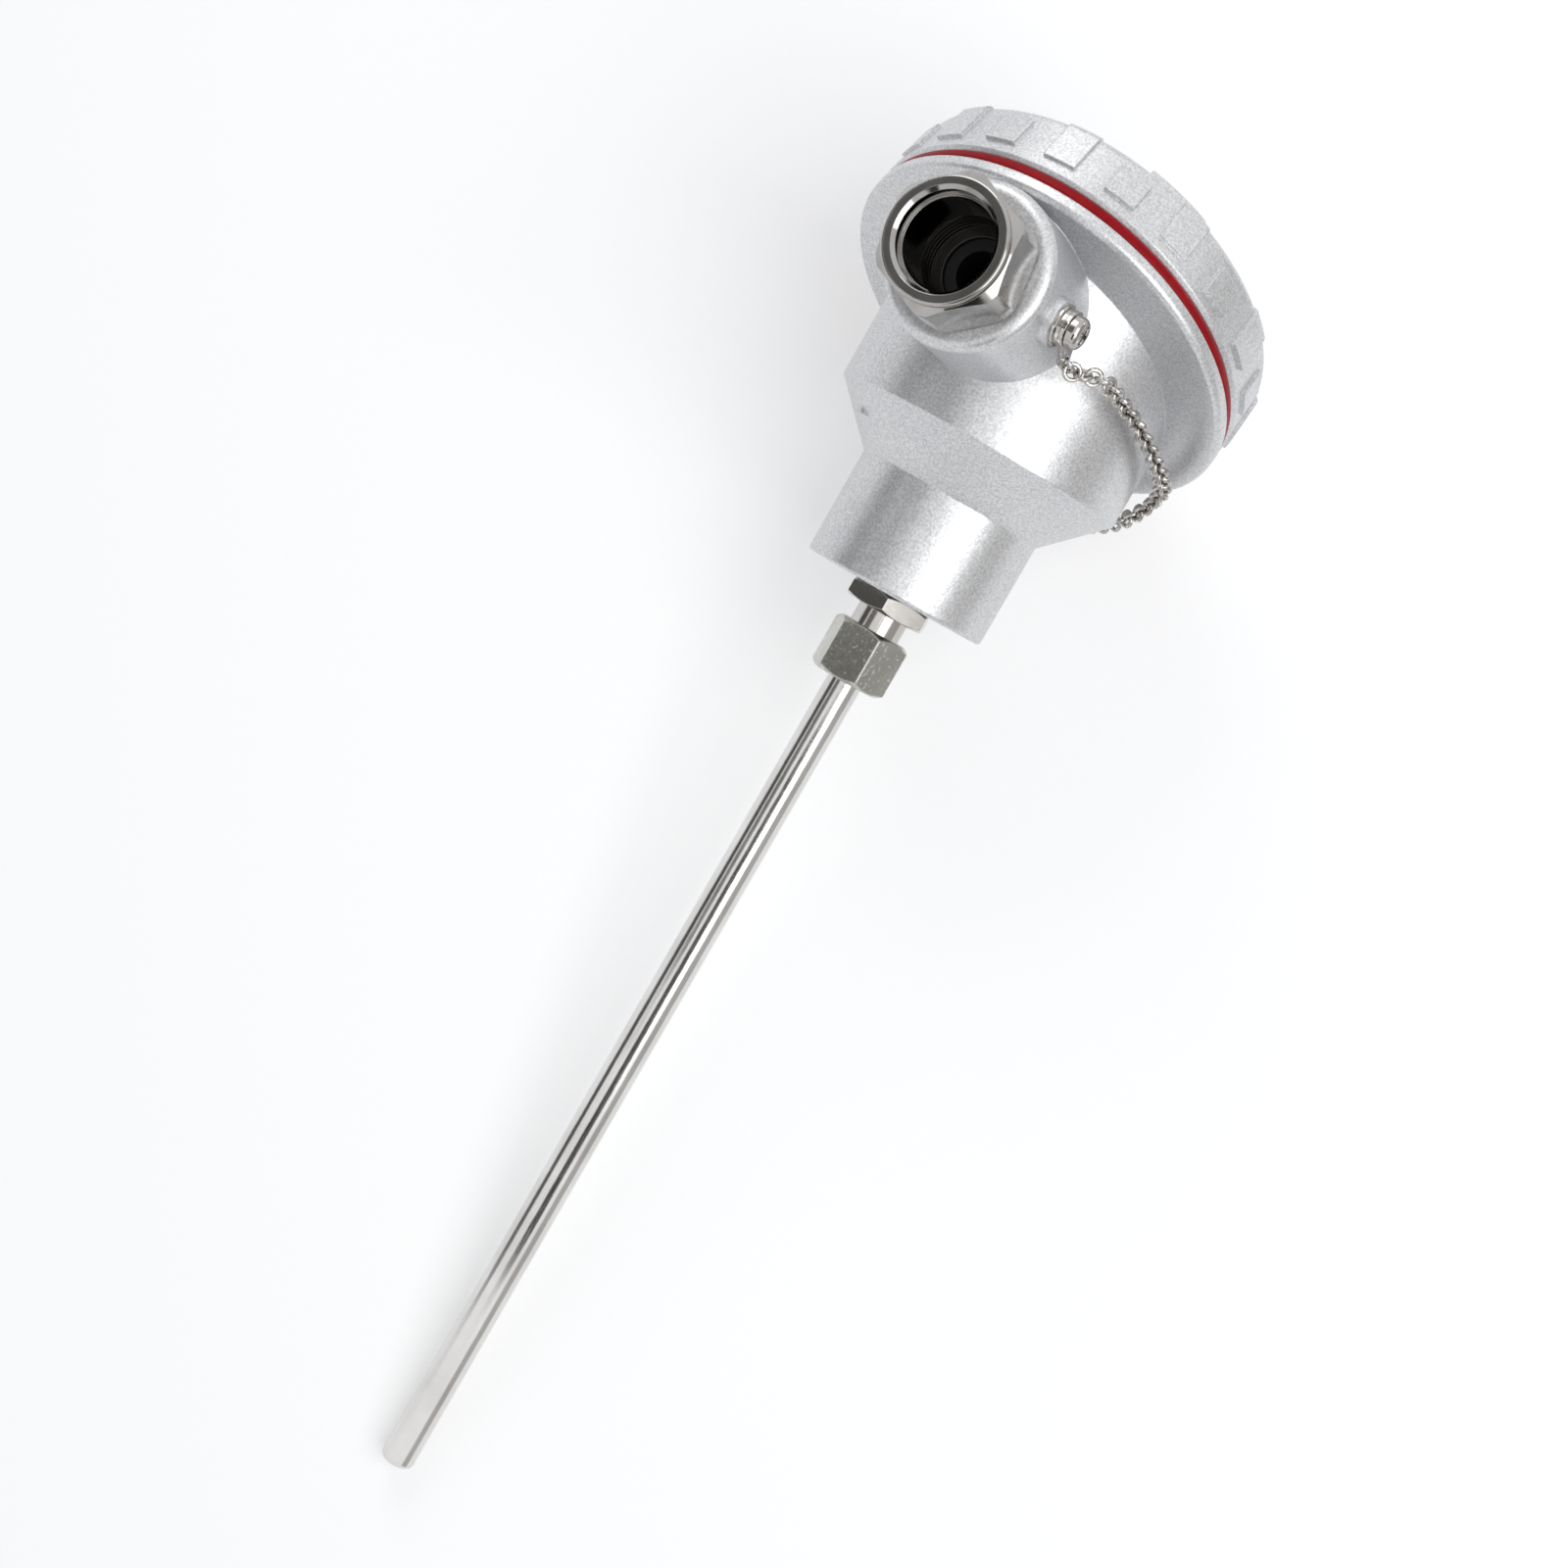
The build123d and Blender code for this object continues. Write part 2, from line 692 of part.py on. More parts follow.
# Gland nut: a big hexagon with a round front ring, bored right through, on a threaded shank
gland_front = boss_reach + gland_hex_length + gland_foot_gap
gland_hex_reach = boss_reach + gland_foot_gap
gland_corner_radius = gland_across_flats / 2 / math.cos(math.radians(30)) - gland_corner_trim
gland_foot_radius = boss_bore_radius + gland_foot_margin
front_slope = math.tan(math.radians(gland_front_angle))
gland_front_cone = (gland_corner_radius - gland_ring_radius) * front_slope
foot_slope = math.tan(math.radians(gland_foot_angle))
gland_foot_cone = (gland_corner_radius - gland_foot_radius) * foot_slope
shank_radius = boss_bore_radius - slip_clearance
gland_back = boss_reach - gland_shank_length
with BuildPart() as gland_nut:
    extrude(
        hexagon(entry_plane(gland_hex_reach), gland_across_flats, gland_turn),
        amount=gland_hex_length,
    )
    outline = [
        (0, gland_hex_reach),
        (gland_foot_radius, gland_hex_reach),
        (gland_corner_radius, gland_hex_reach + gland_foot_cone),
        (gland_corner_radius, gland_front - gland_front_cone - gland_ring_step),
        (gland_ring_radius, gland_front - gland_ring_step),
        (gland_ring_radius, gland_front),
        (0, gland_front),
    ]
    turned = profile(entry_section, outline, [(5, gland_ring_rounding)])
    revolve(turned, axis=entry_axis, mode=Mode.INTERSECT)
    outline = [
        (0, gland_back),
        (shank_radius - gland_chamfer, gland_back),
        (shank_radius, gland_back + gland_chamfer),
        (shank_radius, gland_hex_reach),
        (0, gland_hex_reach),
    ]
    revolve(profile(entry_section, outline), axis=entry_axis)
    outline = [
        (0, gland_back),
        (gland_bore_radius, gland_back),
        (gland_bore_radius, gland_front - gland_mouth_depth),
        (gland_mouth_radius - gland_chamfer, gland_front - gland_mouth_depth),
        (gland_mouth_radius - gland_chamfer, gland_front - gland_chamfer),
        (gland_mouth_radius, gland_front),
        (0, gland_front),
    ]
    revolve(profile(entry_section, outline), axis=entry_axis, mode=Mode.SUBTRACT)
save(gland_nut, "gland_nut")

# Thrust washer and rubber bush behind the nut
washer_reach = gland_back - washer_thickness
bush_radius = boss_bore_radius - 2 * slip_clearance
with BuildPart() as gland_washer:
    outline = [
        (washer_hole_radius, washer_reach),
        (bush_radius, washer_reach),
        (bush_radius, gland_back),
        (washer_hole_radius, gland_back),
    ]
    revolve(profile(entry_section, outline, [(3, washer_rounding)]), axis=entry_axis)
save(gland_washer, "gland_washer")

with BuildPart() as gland_grommet:
    outline = [
        (grommet_hole_radius, boss_shoulder_reach),
        (bush_radius, boss_shoulder_reach),
        (bush_radius, washer_reach),
        (grommet_hole_radius, washer_reach),
    ]
    revolve(profile(entry_section, outline), axis=entry_axis)
save(gland_grommet, "gland_grommet")


# Pan-head screws, drawn with the seat of the head at the origin and the shank along -Z
def pan_screw(shank_radius, shank_length, head_radius, head_height):
    """A screw with a crowned head and a cross in it."""
    outline = [
        (0, -shank_length),
        (shank_radius - screw_tip_chamfer, -shank_length),
        (shank_radius, screw_tip_chamfer - shank_length),
        (shank_radius, 0),
        (head_radius, 0),
        (head_radius, head_height),
        (0, head_height),
    ]
    slot_depth = head_height / 2
    with BuildPart() as screw:
        revolve(
            profile(Plane.XZ, outline, [(5, pan_head_crown * head_height)]),
            axis=Axis.Z,
        )
        with BuildSketch(Plane.XY.offset(head_height)):
            Rectangle(cross_length * head_radius, cross_width * head_radius)
            Rectangle(cross_width * head_radius, cross_length * head_radius)
        extrude(amount=-slot_depth, mode=Mode.SUBTRACT)
    return screw.part


# Chain screw on the lug, with its washers and the chain's eyelet between them
lug_face = Plane(origin=(lug_reach, lug_y, lug_z), x_dir=(0, 1, 0), z_dir=(1, 0, 0))
spring_washer_reach = flat_washer_thickness
boss_eyelet_z = spring_washer_reach + spring_washer_thickness + link_clearance
chain_head_z = boss_eyelet_z + eyelet_thickness + link_clearance
chain_screw_grip = chain_head_z + chain_screw_bite


def washer(plane, radius, hole, thickness):
    """A plain round washer that lies on a plane."""
    with BuildPart() as ring:
        with BuildSketch(plane):
            Circle(radius)
            Circle(hole, mode=Mode.SUBTRACT)
        extrude(amount=thickness)
    return ring.part


with BuildPart() as chain_screw:
    with Locations(lug_face.offset(chain_head_z)):
        add(
            pan_screw(
                chain_screw_radius - slip_clearance,
                chain_screw_grip,
                pan_head_radius,
                pan_head_height,
            )
        )
save(chain_screw, "chain_screw")

screw_hole_radius = chain_screw_radius + slip_clearance
with BuildPart() as chain_flat_washer:
    add(washer(lug_face, flat_washer_radius, screw_hole_radius, flat_washer_thickness))
save(chain_flat_washer, "chain_flat_washer")

# A split ring: its gap is a slanted cut
with BuildPart() as chain_spring_washer:
    spring_face = lug_face.offset(spring_washer_reach)
    add(
        washer(
            spring_face, spring_washer_radius, screw_hole_radius, spring_washer_thickness
        )
    )
    with BuildSketch(spring_face):
        with Locations((0, spring_washer_radius)):
            Rectangle(spring_washer_gap, 2 * spring_washer_radius)
    extrude(amount=spring_washer_thickness, mode=Mode.SUBTRACT)
save(chain_spring_washer, "chain_spring_washer")


def eyelet(plane, reach):
    """A flat plate with a hole for the screw and, at the end of its arm, one for a link."""
    with BuildPart() as plate:
        with BuildSketch(plane):
            Circle(eyelet_radius)
            with Locations((reach, 0)):
                Circle(eyelet_tab_radius)
            make_hull()
            Circle(screw_hole_radius, mode=Mode.SUBTRACT)
            with Locations((reach, 0)):
                Circle(eyelet_hole_radius, mode=Mode.SUBTRACT)
        extrude(amount=eyelet_thickness)
    return plate.part


boss_eyelet_plane = spun(lug_face.offset(boss_eyelet_z), boss_eyelet_turn - 90)
with BuildPart() as chain_eyelet:
    add(eyelet(boss_eyelet_plane, boss_eyelet_reach))
save(chain_eyelet, "chain_eyelet")

# On the lid the eyelet turns freely under a shouldered screw
bar_top = lid_height + bar_rise
lid_eyelet_plane = spun(lid_plane.offset(bar_top + link_clearance), bar_turn)
lid_head_z = bar_top + eyelet_thickness + 2 * link_clearance
with BuildPart() as cap_eyelet:
    add(eyelet(lid_eyelet_plane, lid_eyelet_reach))
save(cap_eyelet, "cap_eyelet")

with BuildPart() as cap_chain_screw:
    with Locations(lid_plane.offset(lid_head_z)):
        add(
            pan_screw(
                chain_screw_radius - slip_clearance,
                eyelet_thickness + 2 * link_clearance + chain_screw_length,
                pan_head_radius,
                pan_head_height,
            )
        )
save(cap_chain_screw, "cap_chain_screw")

# Measuring unit: a round puck on two pillars, open in the middle for the wires
barrier_ring_radius = unit_radius - barrier_length / 2 - barrier_margin
with BuildPart() as transmitter_puck:
    with BuildSketch(Plane.XY.offset(unit_z)):
        Circle(unit_radius)
        Circle(unit_hole_radius, mode=Mode.SUBTRACT)
        with GridLocations(pillar_spacing, 0, 2, 1):
            Circle(unit_screw_radius + unit_screw_play, mode=Mode.SUBTRACT)
    extrude(amount=unit_height)
    chamfer(transmitter_puck.faces().sort_by(Axis.Z)[0].outer_wire().edges(), unit_chamfer)
    with BuildSketch(Plane.XY.offset(unit_top_z)):
        with GridLocations(pillar_spacing, 0, 2, 1):
            Circle(unit_counterbore_radius)
    extrude(amount=-unit_counterbore_depth, mode=Mode.SUBTRACT)
    with BuildSketch(Plane.XY.offset(unit_top_z)):
        for angle in terminal_angles:
            with PolarLocations(terminal_ring_radius, 1, start_angle=angle):
                Circle(terminal_screw_radius)
    extrude(amount=-terminal_screw_length, mode=Mode.SUBTRACT)
    # ribs that part the terminals
    with BuildSketch(Plane.XY.offset(unit_top_z)):
        for angle in barrier_angles:
            with PolarLocations(barrier_ring_radius, 1, start_angle=angle):
                Rectangle(barrier_length, barrier_thickness)
    extrude(amount=barrier_height)
save(transmitter_puck, "transmitter_puck")

with BuildPart() as puck_screws:
    with Locations(Plane.XY.offset(unit_top_z - unit_counterbore_depth)):
        with GridLocations(pillar_spacing, 0, 2, 1):
            add(
                pan_screw(
                    unit_screw_radius - slip_clearance,
                    unit_height - unit_counterbore_depth + unit_screw_bite,
                    pan_head_radius,
                    pan_head_height,
                )
            )
save(puck_screws, "puck_screws")

# Terminals: a square clamp plate over each wire, under a screw
clamp_z = unit_top_z + 2 * (wire_radius + wire_lift)
with BuildPart() as terminal_clamps:
    with BuildSketch(Plane.XY.offset(clamp_z)):
        for angle in terminal_angles:
            with PolarLocations(terminal_ring_radius, 1, start_angle=angle):
                Rectangle(clamp_size, clamp_size)
                Circle(terminal_screw_radius + slip_clearance, mode=Mode.SUBTRACT)
    extrude(amount=clamp_thickness)
save(terminal_clamps, "terminal_clamps")

terminal_screw = pan_screw(
    terminal_screw_radius - slip_clearance,
    terminal_screw_length + clamp_thickness,
    terminal_head_radius,
    terminal_head_height,
)
with BuildPart() as terminal_screws:
    for angle in terminal_angles:
        with Locations(Plane.XY.offset(clamp_z + clamp_thickness)):
            with PolarLocations(terminal_ring_radius, 1, start_angle=angle):
                add(terminal_screw)
save(terminal_screws, "terminal_screws")

# Earth screw and its clamp on the pillar beside the unit
earth_top = Plane(origin=(earth_x, earth_y, earth_z))
with BuildPart() as earth_clamp:
    with BuildSketch(earth_top):
        Rectangle(clamp_size, clamp_size)
        Circle(terminal_screw_radius + slip_clearance, mode=Mode.SUBTRACT)
    extrude(amount=clamp_thickness)
save(earth_clamp, "earth_clamp")

with BuildPart() as earth_screw:
    with Locations(earth_top.offset(clamp_thickness)):
        add(terminal_screw)
save(earth_screw, "earth_screw")

# Chain: interlocking links along a curve from one eyelet to the other, every second one turned
link_centre_radius = (link_diameter - link_wire) / 2


def chain_link():
    """A ring of flat sides with a six-sided section, lying in the XY plane at the origin."""
    outer = link_diameter / 2
    inner = outer - link_wire
    with BuildPart() as ring:
        with BuildSketch():
            RegularPolygon(outer, link_sides, major_radius=False, rotation=180 / link_sides)
        extrude(amount=link_wire / 2, taper=link_taper, both=True)
        with BuildSketch():
            RegularPolygon(inner, link_sides, major_radius=False, rotation=180 / link_sides)
        extrude(amount=link_wire / 2, taper=-link_taper, both=True, mode=Mode.SUBTRACT)
    return ring.part


boss_hole = boss_eyelet_plane.offset(eyelet_thickness / 2).from_local_coords(
    Vector(boss_eyelet_reach, 0, 0)
)
lid_hole = lid_eyelet_plane.offset(eyelet_thickness / 2).from_local_coords(
    Vector(lid_eyelet_reach, 0, 0)
)


def beside_bowl(angle, gap, drop):
    """A point round the bowl, this far out from its wall and below the seat's centre."""
    reach = bowl_radius + gap
    turn = math.radians(angle)
    return Vector(reach * math.cos(turn), reach * math.sin(turn), seat_z - drop)


def over_lid(angle, gap, rise):
    """A point round the lid's axis, this far out from its skirt and above its top."""
    reach = lid_skirt_radius + gap
    turn = math.radians(angle)
    local = Vector(reach * math.cos(turn), reach * math.sin(turn), lid_height + rise)
    return lid_plane.from_local_coords(local)


route = [boss_hole]
route += [boss_hole + Vector(*stop) for stop in chain_leaves_boss]
route += [beside_bowl(*stop) for stop in chain_round_bowl]
route += [over_lid(*stop) for stop in chain_over_lid]
lid_approach = lid_plane.to_local_coords(lid_hole) + Vector(*chain_meets_lid)
route += [lid_plane.from_local_coords(lid_approach), lid_hole]
with BuildLine() as chain_line:
    Spline(*route)
chain_curve = chain_line.edges()[0]
first_link = link_centre_radius
last_link = chain_curve.length - link_centre_radius
link_count = 2 * round((last_link - first_link) / link_pitch / 2) + 1
link_step = (last_link - first_link) / (link_count - 1)
print("chain", round(chain_curve.length, 1), "mm,", link_count, "links, pitch", link_step)


def link_place(number):
    """Where a link lies: its long way follows the curve, and its face turns by turns."""
    distance = first_link + number * link_step
    middle = chain_curve.position_at(distance, position_mode=PositionMode.LENGTH)
    along = chain_curve.tangent_at(distance, position_mode=PositionMode.LENGTH)
    share = number / (link_count - 1)
    start_normal = boss_eyelet_plane.z_dir
    end_normal = lid_plane.z_dir
    blend = start_normal * (1 - share) + end_normal * share
    side = along.cross(blend).normalized()
    if number % 2:
        side = along.cross(side).normalized()
    return Plane(origin=middle, x_dir=along, z_dir=side).location


ring = chain_link()
with BuildPart() as chain_links:
    with Locations(*[link_place(number) for number in range(link_count)]):
        add(ring)
save(chain_links, "chain_links")
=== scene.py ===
import math

import bmesh
import bpy
import numpy as np
from mathutils import Matrix, Vector


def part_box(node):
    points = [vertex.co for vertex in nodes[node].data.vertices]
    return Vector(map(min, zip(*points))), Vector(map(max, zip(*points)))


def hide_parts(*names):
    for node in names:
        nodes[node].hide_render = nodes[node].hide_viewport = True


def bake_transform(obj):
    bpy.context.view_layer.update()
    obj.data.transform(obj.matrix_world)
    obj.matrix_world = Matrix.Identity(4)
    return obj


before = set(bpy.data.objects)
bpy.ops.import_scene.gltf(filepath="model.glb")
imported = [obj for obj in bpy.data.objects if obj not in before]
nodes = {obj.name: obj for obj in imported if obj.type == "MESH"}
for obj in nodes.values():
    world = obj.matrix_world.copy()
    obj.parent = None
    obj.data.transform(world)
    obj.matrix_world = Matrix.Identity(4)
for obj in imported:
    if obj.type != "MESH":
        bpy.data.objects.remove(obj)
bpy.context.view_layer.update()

scene = bpy.context.scene

# Places and directions shared with the model, in metres
seat_centre = Vector((0, -0.0024, 0.0895))
lid_tilt = math.radians(26.5)
lid_up = Vector((0, math.sin(lid_tilt), math.cos(lid_tilt)))
lid_across = Vector((0, math.cos(lid_tilt), -math.sin(lid_tilt)))
entry_centre = Vector((0, 0, 0.0854))
nut_centre = Vector((0, 0, 0))
along_x = Vector((1, 0, 0))
along_y = Vector((0, 1, 0))
along_z = Vector((0, 0, 1))
square_corners = ((-1, -1), (1, -1), (1, 1), (-1, 1))

# Camera at the photograph's viewing angle
sensor_width = 36
photo_width = 1600
focal_pixels = 2614.5
camera_data = bpy.data.cameras.new("camera")
camera_data.sensor_width = sensor_width
camera_data.lens = focal_pixels / photo_width * sensor_width
camera_data.clip_start = 0.01
camera_data.clip_end = 50
camera = bpy.data.objects.new("camera", camera_data)
scene.collection.objects.link(camera)
camera_right = Vector((0.79473, 0.34845, 0.49691))
camera_top = Vector((-0.49679, -0.09678, 0.86242))
camera_back = Vector((0.34862, -0.93231, 0.0962))
camera_place = Vector((0.196647, -0.526794, 0.027945))
camera.matrix_world = Matrix(
    (
        (camera_right.x, camera_top.x, camera_back.x, camera_place.x),
        (camera_right.y, camera_top.y, camera_back.y, camera_place.y),
        (camera_right.z, camera_top.z, camera_back.z, camera_place.z),
        (0, 0, 0, 1),
    )
)
scene.camera = camera


# Helpers for node trees
def add_node(tree, kind, inputs=(), **settings):
    """A node with its settings, each input linked to a socket or set to a value."""
    made = tree.nodes.new(kind)
    for key, value in settings.items():
        setattr(made, key, value)
    for key, value in dict(inputs).items():
        if isinstance(value, bpy.types.NodeSocket):
            tree.links.new(value, made.inputs[key])
        else:
            made.inputs[key].default_value = value
    return made


class Nodes:
    """Short names for building one material's node tree."""

    def __init__(self, name):
        self.material = bpy.data.materials.new(name)
        self.material.use_nodes = True
        self.tree = self.material.node_tree
        self.shader = self.tree.nodes["Principled BSDF"]
        self.output = self.tree.nodes["Material Output"]
        self.place = self.tree.nodes.new("ShaderNodeTexCoord").outputs["Object"]

    def add(self, kind, inputs=(), **settings):
        return add_node(self.tree, kind, inputs, **settings)

    def link(self, source, target):
        self.tree.links.new(source, target)

    def noise(self, scale, detail=3.0, rough=0.55, stretch=None):
        """Noise that many times a metre, stretched where asked."""
        place = self.place
        if stretch:
            place = self.add(
                "ShaderNodeMapping", {"Vector": place, "Scale": stretch}
            ).outputs["Vector"]
        return self.add(
            "ShaderNodeTexNoise",
            {"Vector": place, "Scale": scale, "Detail": detail, "Roughness": rough},
        ).outputs["Fac"]

    def spread(self, value, low=0.3, high=0.7, to_low=0.0, to_high=1.0):
        """A value moved from one range to another, held at its ends.

        The first range is by default the one that most of a noise lies in.
        """
        return self.add(
            "ShaderNodeMapRange",
            {
                "Value": value,
                "From Min": low,
                "From Max": high,
                "To Min": to_low,
                "To Max": to_high,
            },
        ).outputs["Result"]

    def math(self, operation, first, second=0.0):
        return self.add(
            "ShaderNodeMath", {0: first, 1: second}, operation=operation
        ).outputs["Value"]

    def blend_colours(self, share, first, second):
        share_socket, first_socket, second_socket, colour_output = 0, 6, 7, 2
        inputs = {share_socket: share, first_socket: first, second_socket: second}
        return self.add("ShaderNodeMix", inputs, data_type="RGBA").outputs[colour_output]

    def bump(self, height, distance, strength=1.0, below=None):
        inputs = {"Height": height, "Distance": distance, "Strength": strength}
        if below is not None:
            inputs["Normal"] = below
        return self.add("ShaderNodeBump", inputs).outputs["Normal"]

    def rounded(self, radius):
        """Normals with the sharp edges eased."""
        return self.add("ShaderNodeBevel", {"Radius": radius}, samples=4).outputs["Normal"]

    def along(self, origin, direction):
        """Distance along a direction from a point."""
        moved = self.add(
            "ShaderNodeVectorMath", {0: self.place, 1: origin}, operation="SUBTRACT"
        ).outputs["Vector"]
        return self.add(
            "ShaderNodeVectorMath", {0: moved, 1: direction}, operation="DOT_PRODUCT"
        ).outputs["Value"]

    def thread_height(self, origin, direction, across_a, across_b, pitch, low, high):
        """Ridges at a pitch along an axis, winding once a turn, from low to high."""
        distance = self.along(origin, direction)
        side_a = self.along(origin, across_a)
        side_b = self.along(origin, across_b)
        angle = self.math("ARCTAN2", side_b, side_a)
        turn = self.math("DIVIDE", angle, 2 * math.pi)
        phase = self.math("SUBTRACT", self.math("DIVIDE", distance, pitch), turn)
        half_pitch = 0.5
        wave = self.math("PINGPONG", phase, half_pitch)
        above = self.math("GREATER_THAN", distance, low)
        below = self.math("LESS_THAN", distance, high)
        inside = self.math("MULTIPLY", above, below)
        return self.math("MULTIPLY", wave, inside)

    def surface(self, colour, rough, normal, metallic=0.0):
        """The material's colour, roughness, normals and metal share."""
        self.link(colour, self.shader.inputs["Base Color"])
        self.link(rough, self.shader.inputs["Roughness"])
        self.link(normal, self.shader.inputs["Normal"])
        self.shader.inputs["Metallic"].default_value = metallic


def grey(value, warm=0.0):
    """A grey, with a share of warmth between its red and its blue."""
    return (value * (1 + warm), value, value * (1 - warm), 1.0)


materials = {}


def cast_paint(name, thread=None):
    """Silver paint on a casting: fine bright flakes, light orange peel and slow clouds."""
    made = Nodes(name)
    grain = made.noise(scale=1900.0, detail=2.0, rough=0.65)
    flake = made.noise(scale=3300.0, detail=1.0, rough=0.5)
    cloud = made.noise(scale=45.0, detail=3.0, rough=0.5)
    peel = made.noise(scale=420.0, detail=2.0, rough=0.5)
    dull, pale = (0.61, 0.615, 0.63, 1), (0.7, 0.705, 0.715, 1)
    dark_fleck, bright_fleck = (0.42, 0.425, 0.44, 1), (0.88, 0.885, 0.895, 1)
    fleck_share = 0.48
    clouded = made.blend_colours(made.spread(cloud), dull, pale)
    flecked = made.blend_colours(
        made.spread(grain, low=0.36, high=0.64), dark_fleck, bright_fleck
    )
    normal = made.rounded(radius=0.0005)
    normal = made.bump(peel, distance=0.00005, strength=0.5, below=normal)
    normal = made.bump(grain, distance=0.00005, strength=0.7, below=normal)
    normal = made.bump(flake, distance=0.00002, strength=0.7, below=normal)
    if thread:
        normal = made.bump(made.thread_height(**thread), distance=0.0009, below=normal)
    made.surface(
        made.blend_colours(fleck_share, clouded, flecked),
        made.spread(flake, to_low=0.3, to_high=0.44),
        normal,
        metallic=0.78,
    )
    materials[name] = made.material


def bright_metal(
    name, colour, stain_and_shade, rough_low, rough_high, scale,
    stretch=None, bump=0.00001, edge=0.00025, thread=None, glint_share=0.0,
):
    """Machined or drawn metal with fine marks, slight staining that in some materials stands in
    for shade, and perhaps painted glints: bright dots in the colour.
    """
    made = Nodes(name)
    marks = made.noise(scale, detail=4.0, rough=0.6, stretch=stretch)
    # Stained patches; where the stained tone is darkened, as on the chain and the gland washer, it
    # stands in for shade
    stain_and_shade_mask = made.noise(scale=60.0, detail=3.0, rough=0.6)
    mixed = made.blend_colours(made.spread(stain_and_shade_mask, low=0.35), colour, stain_and_shade)
    # Painted glints: near-white dots mixed into the colour where the metal would sparkle
    if glint_share:
        glint_dots = made.noise(scale=1100.0, detail=1.0, rough=0.4)
        glint_dots = made.spread(glint_dots, low=0.6, to_high=glint_share)
        glint_white = grey(0.95)
        mixed = made.blend_colours(glint_dots, mixed, glint_white)
    normal = made.bump(marks, distance=bump, strength=0.6, below=made.rounded(edge))
    if thread:
        normal = made.bump(made.thread_height(**thread), distance=0.0006, below=normal)
    rough = made.spread(marks, to_low=rough_low, to_high=rough_high)
    made.surface(mixed, rough, normal, metallic=1.0)
    materials[name] = made.material


def plain_stuff(name, dark, light, rough, scale, bump, shine=0.5):
    """Rubber, plastic or ceramic with a little grain."""
    made = Nodes(name)
    grain = made.noise(scale, detail=3.0, rough=0.55)
    smoother, rougher = 0.85, 1.2
    made.surface(
        made.blend_colours(made.spread(grain), dark, light),
        made.spread(grain, to_low=rough * smoother, to_high=min(1.0, rough * rougher)),
        made.bump(grain, distance=bump, strength=0.6),
    )
    made.shader.inputs["Specular IOR Level"].default_value = shine
    materials[name] = made.material


collar_thread = {
    "origin": seat_centre, "direction": lid_up, "across_a": along_x, "across_b": lid_across,
    "pitch": 0.002, "low": 0.0, "high": 0.0068,
}
gland_thread = {
    "origin": entry_centre, "direction": -along_y, "across_a": along_x, "across_b": along_z,
    "pitch": 0.0015, "low": 0.049, "high": 0.0575,
}
fitting_thread = {
    "origin": nut_centre, "direction": along_z, "across_a": along_x, "across_b": along_y,
    "pitch": 0.001, "low": 0.005, "high": 0.0117,
}
cast_paint("cast_paint")
cast_paint("head_paint", thread=collar_thread)
bright_metal(
    "stem_steel", grey(0.74, 0.012), grey(0.62, 0.02), rough_low=0.1, rough_high=0.2,
    scale=900.0, stretch=(6, 6, 0.25),
)
# Machined nut steel with painted glints: bright dots in its colour
bright_metal(
    "nut_steel", (0.57, 0.565, 0.53, 1), (0.43, 0.43, 0.39, 1), rough_low=0.14, rough_high=0.26,
    scale=1900.0, bump=0.000012, edge=0.0006, glint_share=0.55,
)
bright_metal(
    "fitting_steel", grey(0.6, 0.03), grey(0.46, 0.06), rough_low=0.1, rough_high=0.2,
    scale=900.0, stretch=(1, 1, 6), thread=fitting_thread,
)
bright_metal(
    "nickel", grey(0.46, 0.02), grey(0.27, 0.05), rough_low=0.06, rough_high=0.14,
    scale=300.0, stretch=(1, 5, 1), thread=gland_thread,
)
# Chain nickel: its bright dots are painted highlights, and its darkened stained tone partly stands
# in for shade between the links
bright_metal(
    "chain_nickel", grey(0.54, 0.04), grey(0.28, 0.08), rough_low=0.05, rough_high=0.14,
    scale=1200.0, glint_share=0.95,
)
# Nickel painted almost black: painted shade for the washer deep in the gland's bore
bright_metal(
    "painted_shade_nickel", grey(0.05, 0.05), grey(0.03, 0.08), rough_low=0.18, rough_high=0.3, scale=300.0
)
bright_metal(
    "brass", grey(0.66, 0.05), grey(0.5, 0.08), rough_low=0.2, rough_high=0.35, scale=900.0
)
bright_metal(
    "screw_steel", grey(0.66, 0.01), grey(0.5, 0.02), rough_low=0.2, rough_high=0.32, scale=900.0
)
plain_stuff(
    "red_rubber", (0.27, 0.004, 0.008, 1), (0.37, 0.008, 0.013, 1),
    rough=0.4, scale=500.0, bump=0.00002, shine=0.12,
)
plain_stuff(
    "black_rubber", (0.012, 0.012, 0.012, 1), (0.025, 0.024, 0.023, 1),
    rough=0.6, scale=900.0, bump=0.00003,
)
plain_stuff(
    "unit_plastic", (0.05, 0.07, 0.11, 1), (0.07, 0.09, 0.13, 1),
    rough=0.5, scale=1500.0, bump=0.00002,
)
plain_stuff(
    "ceramic", (0.78, 0.77, 0.72, 1), (0.85, 0.84, 0.8, 1),
    rough=0.5, scale=800.0, bump=0.00002,
)
plain_stuff(
    "powder", (0.7, 0.69, 0.65, 1), (0.82, 0.81, 0.77, 1),
    rough=0.9, scale=3000.0, bump=0.00005,
)
plain_stuff(
    "potting", (0.04, 0.04, 0.045, 1), (0.06, 0.06, 0.065, 1),
    rough=0.35, scale=300.0, bump=0.00003,
)
plain_stuff(
    "wire_red", (0.45, 0.02, 0.015, 1), (0.55, 0.03, 0.02, 1),
    rough=0.4, scale=900.0, bump=0.00001,
)
plain_stuff(
    "wire_white", (0.74, 0.74, 0.72, 1), (0.82, 0.82, 0.8, 1),
    rough=0.4, scale=900.0, bump=0.00001,
)
